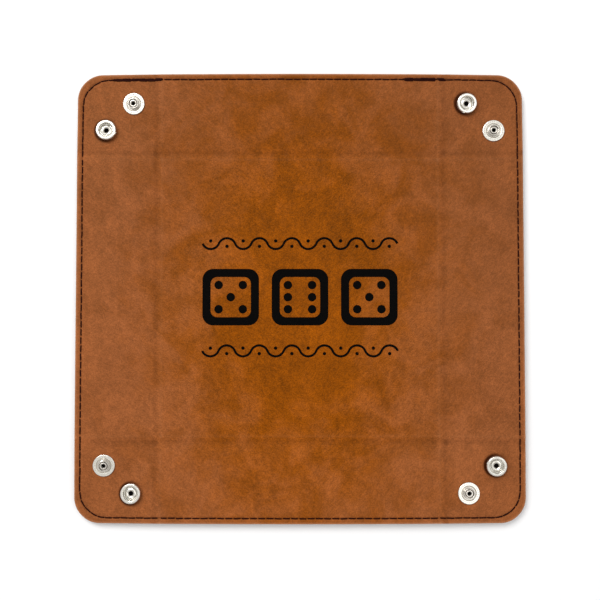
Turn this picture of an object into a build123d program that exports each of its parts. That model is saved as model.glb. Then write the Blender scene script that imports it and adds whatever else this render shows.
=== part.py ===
"""Snap-up dice tray: a square of two stitched leatherette sheets that lies flat and folds into a box.

Millimetres, +Z up. The origin is on the table under the middle of the tray. The tray is modelled unsnapped: the
base lies flat, and the four walls rise a few degrees, because the snap caps behind the corners hold them up.
Every shape is drawn in the flat sheet, beside the east wall or in the north-east corner, then folded to its rest
angle and turned round the tray by quarters.
"""

import math
import os

from build123d import *

# Sheet and creases
SHEET = 228.6  # side of the flat square, nine inches
CORNER_R = 12.7
BASE = 147.6  # between opposite wall creases
RIDGE_INSET = 2.6  # the ridge creases beside an ear lie this far inside the wall creases
REST_ANGLE = 4.0  # degrees that a wall rises at rest

# Layers
FACE_T = 0.9  # leatherette that shows
LINING_T = 1.3  # leatherette underneath, with its glue
BOARD_T = 0.5  # stiffener let into the lining
BOARD_MARGIN = 1.6  # crease to stiffener
BOARD_EDGE = 4.6  # sheet edge to stiffener
BOARD_PLAY = 0.1
EAR_BOTTOM = 0.2  # the ears have no stiffener, so they are thinner by this much

# Clearances between panels that fold
PANEL_GAP = 0.1
OPEN_RIDGE_GAP = 1.3  # at the ridge where the closed linkage is opened
DIAGONAL_GAP = 0.15
BEVEL = math.tan(math.radians(24))  # a ridge folds 45 degrees, so each side leans a little over half of that

# Seam
SEAM_INSET = 2.8
SEAM_R = 13.0
THREAD_W = 0.7
THREAD_H = 0.3
THREAD_RIDGE_GAP = 1.4
THREAD_DIAGONAL_GAP = 0.9
THREAD_PLAY = 0.02

# Snap fasteners: where they sit in a corner, and their sizes
SNAP_FAR = 99.5
SNAP_NEAR = 85.5
STUD_R = 5.55
STUD_BOSS_R = 2.7
STUD_BOSS_H = 2.2
STUD_PITS = 26
STUD_PIT_CIRCLE_R = 4.65
SOCKET_R = 5.1
SOCKET_H = 2.8
SOCKET_MOUTH_R = 3.4
SOCKET_CAVITY_R = 4.1
SPRING_WIRE_R = 0.28
SPRING_HALF_GAP = 3.1
SPRING_HALF_LENGTH = 3.5
SPRING_BEND_R = 2.6
CAP_R = 6.2
CAP_H = 1.3
CAP_TUBE_R = 1.9
POST_FLANGE_R = 4.7
POST_FLANGE_H = 0.9
POST_TUBE_R = 1.4
TUBE_PLAY = 0.08

# Engraving in the tray floor
ENGRAVING_DEPTH = 0.2
DIE_SIDE = 29.0
DIE_PITCH = 35.5
DIE_CORNER_R = 5.5
DIE_STROKE = 4.2
PIP_R = 2.2
PIP_STEP = 6.2
SCROLL_Y = 27.5
SCROLL_LENGTH = 100.0
SCROLL_ARCS = 12
SCROLL_RISE = 2.8
SCROLL_STROKE = 1.2
SCROLL_DOT_R = 0.9

# Worked out from the dimensions above
T = FACE_T + LINING_T
EAR_T = T - EAR_BOTTOM
EDGE = SHEET / 2
CREASE = BASE / 2
RIDGE = CREASE - RIDGE_INSET
SNAP_XY = (SNAP_FAR, SNAP_NEAR)
SIDES = ("east", "north", "west", "south")
CORNERS = ("ne", "nw", "sw", "se")
DIAGONAL = Plane(origin=(0, 0, 0), z_dir=(1, -1, 0))


def ear_rest_angle(wall_angle):
    """Degrees that an ear turns back from its wall, so that the two ears of a corner meet on the diagonal."""
    s = math.sin(math.radians(wall_angle))
    c = math.cos(math.radians(wall_angle))
    return math.degrees(math.acos(c / math.hypot(1, s)) - math.atan(s))


EAR_REST = ear_rest_angle(REST_ANGLE)
WALL_HINGE = Axis((CREASE, 0, T), (0, -1, 0))
EAR_HINGE = Axis((CREASE, RIDGE, T), (-1, 0, 0))


# Folding: from the flat sheet to the rest pose


def rest_wall(shape):
    return shape.rotate(WALL_HINGE, REST_ANGLE)


def rest_ear(shape):
    return rest_wall(shape.rotate(EAR_HINGE, EAR_REST))


def rest_far_ear(shape):
    """The ear across the diagonal mirrors the one that is drawn."""
    return mirror(rest_ear(shape), about=DIAGONAL)


def quarter(shape, turn):
    return shape.rotate(Axis.Z, 90 * turn)


# Flat building blocks


def prism(points, z0, z1):
    return Pos(0, 0, z0) * extrude(make_face(Polyline(*points, close=True)), amount=z1 - z0)


def block(x0, x1, y0, y1, z0, z1):
    return Pos((x0 + x1) / 2, (y0 + y1) / 2, (z0 + z1) / 2) * Box(x1 - x0, y1 - y0, z1 - z0)


def turned(outline):
    """A turned part from its half section: points (radius, height), each followed by a round's radius if it has one."""
    corners = [Vector(p[0], p[1]) for p in outline]
    rounds = [p[2] if len(p) > 2 else 0 for p in outline]
    face = make_face(Polyline(*[(v.X, v.Y) for v in corners], close=True))
    for corner, radius in zip(corners, rounds):
        if radius:
            vertex = face.vertices().sort_by_distance(corner)[0]
            face = fillet(vertex, radius)
    return revolve(Rot(90, 0, 0) * face, Axis.Z)


def layer(panel, z0, z1):
    return panel & block(-SHEET, SHEET, -SHEET, SHEET, z0, z1)


def face_layer(panel):
    return layer(panel, LINING_T, T)


def lining_layer(panel, bottom=0.0):
    return layer(panel, bottom, LINING_T)


# Panels of the flat sheet


def base_panel():
    """A square whose corners are cut from one ridge crease to the next."""
    reach = CREASE - PANEL_GAP
    square = block(-reach, reach, -reach, reach, 0, T)
    cut = (2 * CREASE - RIDGE_INSET - 2 * PANEL_GAP) / math.sqrt(2)
    return square & Rot(0, 0, 45) * block(-cut, cut, -cut, cut, 0, T)


def wall_panel():
    """The east wall. Its ends lean in towards the lining, where the ridge creases fold back."""
    reach = RIDGE - PANEL_GAP
    lean = T * BEVEL
    section = Polyline((reach, T), (-reach, T), (-reach + lean, 0), (reach - lean, 0), close=True)
    start = Plane(origin=(CREASE + PANEL_GAP, 0, 0), x_dir=(0, 1, 0), z_dir=(1, 0, 0))
    return extrude(start * make_face(section), amount=EDGE - CREASE - PANEL_GAP)


def ear_panel(ridge_gap, hole_r):
    """Half of a corner, between the east wall's ridge crease and the diagonal, with a hole for its snap."""
    sheet = Pos(0, 0, T / 2) * Box(SHEET, SHEET, T)
    sheet = fillet(sheet.edges().filter_by(Axis.Z), CORNER_R)
    start = CREASE - RIDGE_INSET / 2 + 2 * PANEL_GAP
    side = DIAGONAL_GAP * math.sqrt(2)
    half = prism([(start, start - side), (CREASE, RIDGE), (SHEET, RIDGE), (SHEET, SHEET - side)], 0, T)
    lean_start = RIDGE + ridge_gap
    lean = Polyline((0, T), (lean_start, T), (lean_start + T * BEVEL, 0), (0, 0), close=True)
    wedge = extrude(Plane(origin=(0, 0, 0), x_dir=(0, 1, 0), z_dir=(1, 0, 0)) * make_face(lean), amount=SHEET)
    hole = Pos(*SNAP_XY, 0) * Cylinder(hole_r + TUBE_PLAY, 4 * T)
    return (sheet & half) - wedge - hole


def board(x0, x1, y, play=0.0):
    top = LINING_T
    return block(x0 - play, x1 + play, -y - play, y + play, top - BOARD_T, top)


def base_board(play=0.0):
    reach = CREASE - BOARD_MARGIN
    return board(-reach, reach, reach, play) & Rot(0, 0, 45) * block(*(-CREASE * 1.37, CREASE * 1.37) * 2, 0, T)


def wall_board(play=0.0):
    return board(CREASE + BOARD_MARGIN, EDGE - BOARD_EDGE, RIDGE - BOARD_MARGIN, play)


# Engraving: three dice between two scrolls


def pips(count):
    """Places of the pips on a die showing five or six."""
    corners = [(x, y) for x in (-PIP_STEP, PIP_STEP) for y in (-PIP_STEP, PIP_STEP)]
    return corners + ([(0, 0)] if count == 5 else [(-PIP_STEP, 0), (PIP_STEP, 0)])


def die(count):
    inner = DIE_SIDE - 2 * DIE_STROKE
    frame = RectangleRounded(DIE_SIDE, DIE_SIDE, DIE_CORNER_R)
    frame -= RectangleRounded(inner, inner, DIE_CORNER_R - DIE_STROKE / 2)
    return [frame] + [Pos(x, y) * Circle(PIP_R) for x, y in pips(count)]


def scroll():
    """A running wave of equal arcs, with a dot in the hollow of each."""
    step = SCROLL_LENGTH / SCROLL_ARCS
    wave = []
    dots = []
    for i in range(SCROLL_ARCS):
        x = -SCROLL_LENGTH / 2 + i * step
        rise = SCROLL_RISE if i % 2 else -SCROLL_RISE
        wave.append(ThreePointArc((x, 0), (x + step / 2, rise), (x + step, 0)))
        dots.append(Pos(x + step / 2, -rise / 2) * Circle(SCROLL_DOT_R))
    return [trace(Curve(wave), SCROLL_STROKE)] + dots


def engraving():
    dice = [Pos(x, 0) * mark for x, count in ((-DIE_PITCH, 5), (0, 6), (DIE_PITCH, 5)) for mark in die(count)]
    scrolls = [Pos(0, y) * mark for y in (-SCROLL_Y, SCROLL_Y) for mark in scroll()]
    floor = T - ENGRAVING_DEPTH
    return [Pos(0, 0, floor) * extrude(mark, amount=2 * ENGRAVING_DEPTH, dir=(0, 0, 1)) for mark in dice + scrolls]


# Seam: a cord of thread on the face and one on the lining, cut between the panels


def seam_ring(z0, z1):
    def outline(extra):
        side = 2 * (EDGE - SEAM_INSET + extra)
        return RectangleRounded(side, side, SEAM_R + extra)

    return Pos(0, 0, z0) * extrude(outline(THREAD_W / 2) - outline(-THREAD_W / 2), amount=z1 - z0)


def seam(cutter, leather_bottom=0.0):
    top = T + THREAD_PLAY
    bottom = leather_bottom - THREAD_PLAY
    cords = [seam_ring(top, top + THREAD_H) & cutter, seam_ring(bottom - THREAD_H, bottom) & cutter]
    return Compound(children=[solid for cord in cords for solid in cord.solids()])


def wall_seam():
    y = RIDGE - THREAD_RIDGE_GAP
    return seam(block(CREASE, SHEET, -y, y, -T, 2 * T))


def ear_seam(ridge_gap):
    y = RIDGE + ridge_gap + THREAD_RIDGE_GAP
    side = THREAD_DIAGONAL_GAP * math.sqrt(2)
    return seam(prism([(y + side, y), (SHEET, y), (SHEET, SHEET - side)], -T, 2 * T), EAR_BOTTOM)


# Snap fasteners, turned about the hole, with height 0 on the face of the leather


def at_snap(shape):
    return Pos(*SNAP_XY, T) * shape


def stud():
    body = turned(
        [
            (POST_TUBE_R + TUBE_PLAY, 0),
            (STUD_R, 0, 0.2),
            (STUD_R, 0.7, 0.3),
            (3.9, 0.7, 0.2),
            (3.4, 0.4, 0.2),
            (STUD_BOSS_R + 0.1, 0.4, 0.15),
            (STUD_BOSS_R - 0.25, 0.75, 0.15),
            (STUD_BOSS_R - 0.25, 1.3, 0.15),
            (STUD_BOSS_R, 1.6, 0.15),
            (STUD_BOSS_R, STUD_BOSS_H, 0.22),
            (STUD_BOSS_R - 0.42, STUD_BOSS_H, 0.15),
            (STUD_BOSS_R - 0.42, 0.4),
            (POST_TUBE_R + TUBE_PLAY, 0.4),
        ]
    )
    pit = Cone(0.08, 0.24, 0.16)
    circle = PolarLocations(STUD_PIT_CIRCLE_R, STUD_PITS)
    return body - [place * Pos(0, 0, 0.63) * pit for place in circle.locations]


def stud_post():
    """A hollow post: its flange lies on the lining, and its end is rolled over inside the stud's boss."""
    return turned(
        [
            (1.0, -EAR_T - POST_FLANGE_H, 0.25),
            (POST_FLANGE_R, -EAR_T - POST_FLANGE_H, 0.4),
            (POST_FLANGE_R, -EAR_T),
            (POST_TUBE_R, -EAR_T),
            (POST_TUBE_R, 0.42),
            (1.85, 0.9, 0.1),
            (1.85, 1.85, 0.3),
            (1.0, 1.85, 0.3),
        ]
    )


def socket_shell():
    body = turned(
        [
            (CAP_TUBE_R + TUBE_PLAY, 0),
            (SOCKET_R - 0.5, 0, 0.2),
            (SOCKET_R, 0.7, 0.4),
            (SOCKET_R, SOCKET_H, 0.6),
            (SOCKET_MOUTH_R + 0.4, SOCKET_H, 0.25),
            (SOCKET_MOUTH_R, SOCKET_H - 0.5, 0.2),
            (SOCKET_MOUTH_R, SOCKET_H - 0.9, 0.1),
            (SOCKET_CAVITY_R, SOCKET_H - 0.9),
            (SOCKET_CAVITY_R, 0.5, 0.2),
            (CAP_TUBE_R + TUBE_PLAY, 0.5),
        ]
    )
    nick = Pos(SOCKET_R + 0.15, 0, SOCKET_H) * Box(1.0, 1.1, 1.2)
    return body - Rot(0, 0, 200) * nick


def socket_spring():
    """A split ring of spring wire, longer than wide, whose two straight legs close on the stud's neck."""
    loop = RectangleRounded(2 * SPRING_HALF_LENGTH, 2 * SPRING_HALF_GAP, SPRING_BEND_R).wire()
    start = Plane(origin=loop @ 0, z_dir=loop % 0)
    wire = sweep(start * Circle(SPRING_WIRE_R), path=loop)
    split = Pos(SPRING_HALF_LENGTH, 0, 0) * Box(1, 0.8, 1)
    return Pos(0, 0, (0.5 + SOCKET_H - 0.9) / 2 + 0.15) * (wire - split)


def socket():
    return Compound(children=[socket_shell(), socket_spring()])


def cap():
    """A domed cap on the lining, with a hollow tube that is rolled over on the socket's floor."""
    return turned(
        [
            (0, -EAR_T - CAP_H),
            (CAP_R * 0.72, -EAR_T - CAP_H, 4.0),
            (CAP_R, -EAR_T - 0.35, 0.3),
            (CAP_R, -EAR_T, 0.12),
            (CAP_TUBE_R, -EAR_T),
            (CAP_TUBE_R, 0.52),
            (2.75, 0.52, 0.12),
            (2.75, 1.0, 0.25),
            (1.95, 1.25, 0.3),
            (1.15, 0.85, 0.3),
            (1.15, -EAR_T + 0.3),
            (0, -EAR_T + 0.3),
        ]
    )


# Assembly: one shape for each node


def tray():
    nodes = {}
    base = base_panel()
    nodes["face_base"] = face_layer(base) - engraving()
    nodes["lining_base"] = lining_layer(base) - base_board(BOARD_PLAY)
    nodes["board_base"] = base_board()

    wall = wall_panel()
    near = ear_panel(PANEL_GAP, POST_TUBE_R)
    far = ear_panel(OPEN_RIDGE_GAP, CAP_TUBE_R)
    east = {
        "face_wall": rest_wall(face_layer(wall)),
        "lining_wall": rest_wall(lining_layer(wall) - wall_board(BOARD_PLAY)),
        "board_wall": rest_wall(wall_board()),
        "seam_wall": rest_wall(wall_seam()),
    }
    near_ear = {
        "face_ear": rest_ear(face_layer(near)),
        "lining_ear": rest_ear(lining_layer(near, EAR_BOTTOM)),
        "seam_ear": rest_ear(ear_seam(0)),
    }
    far_ear = {
        "face_ear": rest_far_ear(face_layer(far)),
        "lining_ear": rest_far_ear(lining_layer(far, EAR_BOTTOM)),
        "seam_ear": rest_far_ear(ear_seam(OPEN_RIDGE_GAP)),
    }
    snaps = {
        "stud": rest_ear(at_snap(stud())),
        "stud_post": rest_ear(at_snap(stud_post())),
        "socket": rest_far_ear(at_snap(socket())),
        "cap": rest_far_ear(at_snap(cap())),
    }
    for turn, (side, corner) in enumerate(zip(SIDES, CORNERS)):
        next_side = SIDES[(turn + 1) % 4]
        for kind, shape in east.items():
            nodes[f"{kind}_{side}"] = quarter(shape, turn)
        for kind, shape in near_ear.items():
            nodes[f"{kind}_{corner}_{side}"] = quarter(shape, turn)
        for kind, shape in far_ear.items():
            nodes[f"{kind}_{corner}_{next_side}"] = quarter(shape, turn)
        for kind, shape in snaps.items():
            nodes[f"{kind}_{corner}"] = quarter(shape, turn)
    return nodes


os.makedirs("parts", exist_ok=True)
for name, shape in tray().items():
    export_step(shape, f"parts/{name}.step")
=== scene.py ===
import math

import bpy
import numpy as np
from mathutils import Matrix, Vector
from mathutils.geometry import delaunay_2d_cdt


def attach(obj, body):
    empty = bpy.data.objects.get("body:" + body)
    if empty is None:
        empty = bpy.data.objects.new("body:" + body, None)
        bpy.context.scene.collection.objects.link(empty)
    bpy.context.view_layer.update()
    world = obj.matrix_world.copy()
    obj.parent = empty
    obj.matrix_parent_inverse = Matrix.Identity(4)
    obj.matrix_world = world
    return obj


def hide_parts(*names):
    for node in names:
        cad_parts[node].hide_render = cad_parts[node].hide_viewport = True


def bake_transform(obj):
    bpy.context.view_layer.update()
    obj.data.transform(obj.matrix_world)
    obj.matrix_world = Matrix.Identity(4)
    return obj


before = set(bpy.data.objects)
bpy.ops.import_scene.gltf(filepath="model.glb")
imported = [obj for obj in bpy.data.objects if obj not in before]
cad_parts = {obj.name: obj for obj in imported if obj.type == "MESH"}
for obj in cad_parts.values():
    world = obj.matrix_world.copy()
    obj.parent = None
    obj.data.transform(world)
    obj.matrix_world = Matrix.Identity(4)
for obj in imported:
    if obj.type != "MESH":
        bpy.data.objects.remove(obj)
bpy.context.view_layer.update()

# The leather is drawn in the flat sheet, in millimetres, and folded to its rest pose at the end.
MM = 0.001

# The tray, as in part.py
EDGE = 114.3
CORNER_R = 12.7
CREASE = 73.8
RIDGE = 71.2
RIDGE_INSET = CREASE - RIDGE
REST_ANGLE = 4.0
LINING_T = 1.3
T = 2.2
EAR_BOTTOM = 0.2
SEAM_INSET = 2.8
SEAM_R = 13.0
SNAP_FAR = 99.5
SNAP_NEAR = 85.5
ENGRAVING_DEPTH = 0.2
DIE_SIDE = 29.0
DIE_PITCH = 35.5
DIE_CORNER_R = 5.5
DIE_STROKE = 4.2
PIP_R = 2.2
PIP_STEP = 6.2
SCROLL_Y = 27.5
SCROLL_LENGTH = 100.0
SCROLL_ARCS = 12
SCROLL_RISE = 2.8
SCROLL_STROKE = 1.2
SCROLL_DOT_R = 0.9
SIDES = ("east", "north", "west", "south")
CORNERS = ("ne", "nw", "sw", "se")

# How far from a crease the leather bends, on each side
WALL_BAND = 1.5
RIDGE_BAND = 1.25
PLEAT_BAND = RIDGE_INSET / math.sqrt(2)

# Mesh density
EDGE_ROWS = (0.06, 0.16, 0.3, 0.45, 0.9, 1.4)
SEAM_ROWS = (-1.2, -0.8, -0.45, -0.2, 0.0, 0.2, 0.45, 0.8, 1.2)
ALONG = 0.8
PLEAT_STEP = 0.28
RIDGE_STEP = 0.32
COARSE = 1.8
FINE_TICKS = (69.0, 69.9, 70.2, 70.6, 70.9, 71.2, 71.5, 71.9, 72.3, 72.8, 73.3, 73.8, 74.3, 74.8, 75.3, 76.0)
CURVE_STEPS = 15

# Leather: its rounded edge, the grooves behind the ridges, the bulge of the north and south edges,
# and how much closer the back's grain lies where a pleat stretches it
ROUNDING = 0.42
BACK_LEAN = math.tan(math.radians(24))
HINGE_T = 0.4
BOW = 0.55
BACK_GRAIN = 1.9

# Relief of the face: dents below it, and rises above it
CREASE_DENT = 0.07
RIDGE_RISE = 0.05
SEAM_DENT = 0.26
HOLE_DENT = 0.16
SNAP_RISE = 0.12

# Painted light of the face, on one scale: painted highlights on the rim and ridges, painted shade in creases
# and holes, painted shadow round the snaps
EDGE_PAINTED_HIGHLIGHT = 0.45
RIDGE_PAINTED_HIGHLIGHT = 0.16
CREASE_SHADE = 0.24
HOLE_SHADE = 0.4
# Painted shadow round each socket, heavier on its left, and painted shade round each stud
SOCKET_PAINTED_SHADOW = 1.2
STUD_PAINTED_SHADE = 0.25

# Web of leather at the base's corners, at the foot of each pleat, along and across the diagonal
WEB_START = 102.2
WEB_END = 104.9
WEB_HALF = 1.9
WEB_BOTTOM = 0.7
WEB_TOP = 1.55

# Snaps: the hole under each, where its middle lies once the tray is folded to rest, and the rings of
# points round it
SNAP_HOLE_R = 1.35
SNAP_FAR_REST = 99.4
SNAP_NEAR_REST = 85.55
SOCKET_R = 5.1
SNAP_RINGS = (1.7, 2.6, 3.6, 4.6, 5.2, 5.6, 6.0, 6.5, 7.2, 8.0, 9.0)

# Stitches: how many lie on each panel, the gap between two of them on each side, and the share of a stitch
# that is left out next to a ridge, over and under the leather
WALL_STITCHES = 34
NEAR_STITCHES = 9
FAR_STITCHES = 10
STITCH_GAPS = {"east": 0.75, "north": 0.35, "west": 0.65, "south": 0.5}
THREAD_R = 0.36
RIDGE_GAP = 0.14
UNDER_GAP = 0.26

# Camera and floor, in metres
CAMERA_DISTANCE = 0.42
VIEW_WIDTH = 0.3068
CAMERA_TILT = math.radians(2.0)
CAMERA_TARGET = (0.0, -0.0015, 0.003)
SENSOR_WIDTH = 36.0
FLOOR_HALF = 3.0
FLOOR_Z = -0.00003


# Folding


def turn(point, axis, degrees):
    move = Matrix.Translation(Vector(point))
    return move @ Matrix.Rotation(math.radians(degrees), 4, Vector(axis)) @ move.inverted()


def ear_rest_angle(wall_angle):
    """Degrees that an ear turns back from its wall, so that the two ears of a corner meet on the diagonal."""
    s = math.sin(math.radians(wall_angle))
    c = math.cos(math.radians(wall_angle))
    return math.degrees(math.acos(c / math.hypot(1, s)) - math.atan(s))


SWAP = Matrix(((0, 1, 0, 0), (1, 0, 0, 0), (0, 0, 1, 0), (0, 0, 0, 1)))
FLAT = Matrix.Identity(4)
WALL_FOLD = turn((CREASE, 0, T), (0, -1, 0), REST_ANGLE)
NEAR_FOLD = WALL_FOLD @ turn((CREASE, RIDGE, T), (-1, 0, 0), ear_rest_angle(REST_ANGLE))
FAR_FOLD = SWAP @ NEAR_FOLD @ SWAP


def bend(points, fold_a, fold_b, weight):
    """Points that follow fold_a at weight 0, fold_b at weight 1, and turn about the axis between them."""
    a = np.array(fold_a)
    relative = np.linalg.inv(a) @ np.array(fold_b)
    r = relative[:3, :3]
    t = relative[:3, 3]
    angle = math.acos(max(-1.0, min(1.0, (np.trace(r) - 1) / 2)))
    if angle < 1e-7:
        return points @ a[:3, :3].T + a[:3, 3]
    n = np.array([r[2, 1] - r[1, 2], r[0, 2] - r[2, 0], r[1, 0] - r[0, 1]])
    n /= np.linalg.norm(n)
    pivot = np.linalg.lstsq(np.eye(3) - r, t - (t @ n) * n, rcond=None)[0]
    p = points - pivot
    c = np.cos(weight * angle)[:, None]
    s = np.sin(weight * angle)[:, None]
    turned = p * c + np.cross(n, p) * s + n * (p @ n)[:, None] * (1 - c)
    moved = pivot + turned + weight[:, None] * (t @ n) * n
    return moved @ a[:3, :3].T + a[:3, 3]


def smooth(t):
    t = np.clip(t, 0, 1)
    return t * t * (3 - 2 * t)


class Panel:
    """One moving piece of the sheet, on body a at the start of its crease and on body b past its end."""

    def __init__(self, turns, a, b, fold_a, fold_b, start, end):
        quarter = Matrix.Rotation(math.radians(90 * turns), 4, "Z")
        self.bodies = (a, b)
        self.turns = turns
        self.is_pleat = a.startswith("ear")
        self.folds = (quarter @ fold_a @ quarter.inverted(), quarter @ fold_b @ quarter.inverted())
        self.start = quarter @ Vector((*start, T))
        self.end = quarter @ Vector((*end, T))

    def fold(self, points):
        """Flat points of the sheet, in millimetres, to the rest pose."""
        points = bowed(np.asarray(points, float))
        along = np.array(self.end - self.start)
        weight = smooth((points - np.array(self.start)) @ along / (along @ along))
        return bend(points, *self.folds, weight)

    def grain_shift(self, flat):
        """Draws the back's grain together where the pleat will stretch it."""
        if not self.is_pleat:
            return np.zeros(flat.shape)
        along = np.array(self.end - self.start)
        share = np.clip((flat - np.array(self.start)) @ along / (along @ along), 0, 1)
        return np.outer(share * (flat[:, 2] < LINING_T), (BACK_GRAIN - 1) * along)

    def ride(self, piece):
        a, b = self.bodies
        if a == b:
            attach(piece, a)
        else:
            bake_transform(piece)


def base_part():
    return Panel(0, "base", "base", FLAT, FLAT, (0, 0), (1, 0))


def wall_part(k):
    start = (CREASE - WALL_BAND, 0)
    end = (CREASE + WALL_BAND, 0)
    return Panel(k, "base", f"wall_{SIDES[k]}", FLAT, WALL_FOLD, start, end)


def near_part(k):
    wall = f"wall_{SIDES[k]}"
    ear = f"ear_{CORNERS[k]}_{SIDES[k]}"
    start = (CREASE, RIDGE - RIDGE_BAND)
    end = (CREASE, RIDGE + RIDGE_BAND)
    return Panel(k, wall, ear, WALL_FOLD, NEAR_FOLD, start, end)


def far_part(k):
    near = f"ear_{CORNERS[k]}_{SIDES[k]}"
    far = f"ear_{CORNERS[k]}_{SIDES[(k + 1) % 4]}"
    reach = PLEAT_BAND / math.sqrt(2)
    middle = (CREASE + RIDGE) / 2 + 20
    start = (middle + reach, middle - reach)
    end = (middle - reach, middle + reach)
    return Panel(k, near, far, NEAR_FOLD, FAR_FOLD, start, end)


# Shape of the sheet, as heights over the flat sheet


def inset(u, v, half, radius):
    """Distance inwards from a rounded square."""
    x = np.abs(u) - (half - radius)
    y = np.abs(v) - (half - radius)
    return radius - np.hypot(np.maximum(x, 0), np.maximum(y, 0)) - np.minimum(np.maximum(x, y), 0)


def soft_noise(u, v, size, seed):
    """Smooth noise from -1 to 1, with lumps about size across."""
    n = 128
    grid = np.random.default_rng(seed).uniform(-1, 1, (n, n))
    x = u / size + n / 2
    y = v / size + n / 2
    i = np.floor(x).astype(int)
    j = np.floor(y).astype(int)
    fx = smooth(x - i)
    fy = smooth(y - j)
    low = grid[i % n, j % n] * (1 - fx) + grid[(i + 1) % n, j % n] * fx
    high = grid[i % n, (j + 1) % n] * (1 - fx) + grid[(i + 1) % n, (j + 1) % n] * fx
    return low * (1 - fy) + high * fy


def bump(x, width):
    return np.exp(-((x / width) ** 2))


def rounded_edge(depth):
    """How far a rounded edge drops, at a distance in from it."""
    x = np.clip(ROUNDING - depth, 0, ROUNDING)
    return ROUNDING - np.sqrt(ROUNDING**2 - x**2)


def snap_places():
    """Each snap's place in the flat sheet."""
    places = []
    for k in range(4):
        for x, y in ((SNAP_FAR, SNAP_NEAR), (SNAP_NEAR, SNAP_FAR)):
            for _ in range(k):
                x, y = -y, x
            places.append((x, y))
    return places


def seam_hole_places():
    """The needle holes of a quarter of the seam, from the start of the east wall to the end of the corner."""
    side = EDGE - SEAM_INSET
    wall_end = RIDGE - RIDGE_BAND
    holes = [(side, y) for y in np.linspace(-RIDGE, wall_end, WALL_STITCHES + 1)]
    straight = side - SEAM_R - wall_end
    quarter_arc = SEAM_R * math.pi / 2
    pleat = straight + SEAM_R * (math.pi / 4 - math.asin(PLEAT_BAND / SEAM_R))
    end = 2 * straight + quarter_arc - RIDGE_BAND
    near = np.linspace(0, pleat, NEAR_STITCHES + 1)[1:]
    far = np.linspace(pleat, end, FAR_STITCHES + 1)[1:]
    for stop in (*near, *far):
        angle = min(max((stop - straight) / SEAM_R, 0), math.pi / 2)
        x = side - SEAM_R + SEAM_R * math.cos(angle) - max(0, stop - straight - quarter_arc)
        y = min(stop, straight) + wall_end + SEAM_R * math.sin(angle)
        holes.append((x, y))
    return holes


def turned_xy(point, k):
    x, y = point
    for _ in range(k):
        x, y = -y, x
    return (x, y)


HOLES = seam_hole_places()
ALL_HOLES = np.array([turned_xy(hole, k) for k in range(4) for hole in HOLES[:-1]])
SNAPS = np.array(snap_places())


def nearest(u, v, places):
    best = np.full(u.shape, 1e9)
    for x, y in places:
        np.minimum(best, np.hypot(u - x, v - y), out=best)
    return best


def creases(u, v, at, width):
    return bump(np.abs(u) - at, width) + bump(np.abs(v) - at, width)


def face_height(u, v):
    u = np.asarray(u, float)
    v = np.asarray(v, float)
    depth = inset(u, v, EDGE, CORNER_R)
    seam = inset(u, v, EDGE - SEAM_INSET, SEAM_R)
    waves = 0.11 * soft_noise(u, v, 34, 1) + 0.04 * soft_noise(u, v, 13, 2) + 0.015 * soft_noise(u, v, 5, 3)
    waves += 0.04 * soft_noise(u + 0.8 * v, 0.35 * (v - 0.8 * u), 9, 4) * smooth((-u - 55) / 40)
    board = 0.04 * smooth((CREASE - 1.2 - np.maximum(np.abs(u), np.abs(v))) / 1.6)
    z = waves + board
    z -= CREASE_DENT * creases(u, v, CREASE, 0.8) + CREASE_DENT * creases(u, v, CREASE, 2.6)
    z += RIDGE_RISE * creases(u, v, RIDGE, 0.8)
    z += 0.12 * bump(seam + 1.3, 0.7) + 0.05 * bump(seam - 1.4, 0.8)
    z -= SEAM_DENT * bump(seam, 0.45)
    z -= HOLE_DENT * bump(nearest(u, v, ALL_HOLES), 0.6)
    snap = nearest(u, v, SNAPS)
    z = z * smooth((snap - 5.3) / 2) + SNAP_RISE * bump(snap - 7.2, 1.0)
    return T + z - rounded_edge(depth)


def painted_light_and_shade(u, v, z):
    """Painted light on the leatherette: paler (above 0) for painted highlights on the rim and the ridges,
    darker (below 0) for painted shade in the creases, the seam and its holes, and painted shadow round the
    snaps.
    """
    depth = inset(u, v, EDGE, CORNER_R)
    seam = inset(u, v, EDGE - SEAM_INSET, SEAM_R)
    # Painted highlight on the rounded rim of the edge and along the ridges
    pale = EDGE_PAINTED_HIGHLIGHT * smooth((1.5 - depth) / 1.2) + 0.25 * smooth((0.5 - depth) / 0.5)
    pale += RIDGE_PAINTED_HIGHLIGHT * creases(u, v, RIDGE, 1.2)
    # Painted shade in the seam's groove, in the needle holes and in the creases
    painted_dark = 0.12 * bump(seam, 0.5) + HOLE_SHADE * bump(nearest(u, v, ALL_HOLES), 0.4)
    painted_dark += CREASE_SHADE * creases(u, v, CREASE, 2.0)
    # Painted shadow round each socket, heavier on its left side, and a ring of painted shade round each stud,
    # on the face only
    painted_snap_shadow = np.zeros(len(u))
    for x, y in SNAPS[1::2]:
        distance = np.hypot(u - x, v - y)
        left = 0.62 - 0.38 * (u - x) / np.maximum(distance, 1)
        painted_snap_shadow += SOCKET_PAINTED_SHADOW * left * smooth((SOCKET_R + 2.1 - distance) / 1.9)
    for x, y in SNAPS[0::2]:
        painted_snap_shadow += STUD_PAINTED_SHADE * smooth((SOCKET_R + 1.5 - np.hypot(u - x, v - y)) / 1.2)
    return pale - painted_dark - np.where(z > LINING_T, painted_snap_shadow, 0)


def bowed(flat):
    """The north and south edges bulge a little outwards in the middle."""
    u, v, z = flat.T
    reach = np.clip(1 - (u / EDGE) ** 2, 0, 1) * smooth((np.abs(v) - 78) / 30)
    return np.column_stack((u, v + np.sign(v) * BOW * reach, z))


def ridge_groove(along, across):
    """Underside of a ridge crease: a groove with sloping sides, beyond the base's corner."""
    groove = T - np.maximum(HINGE_T, np.abs(np.abs(across) - RIDGE) / BACK_LEAN)
    return np.where(np.abs(along) > CREASE - 0.05, groove, -1.0)


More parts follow.
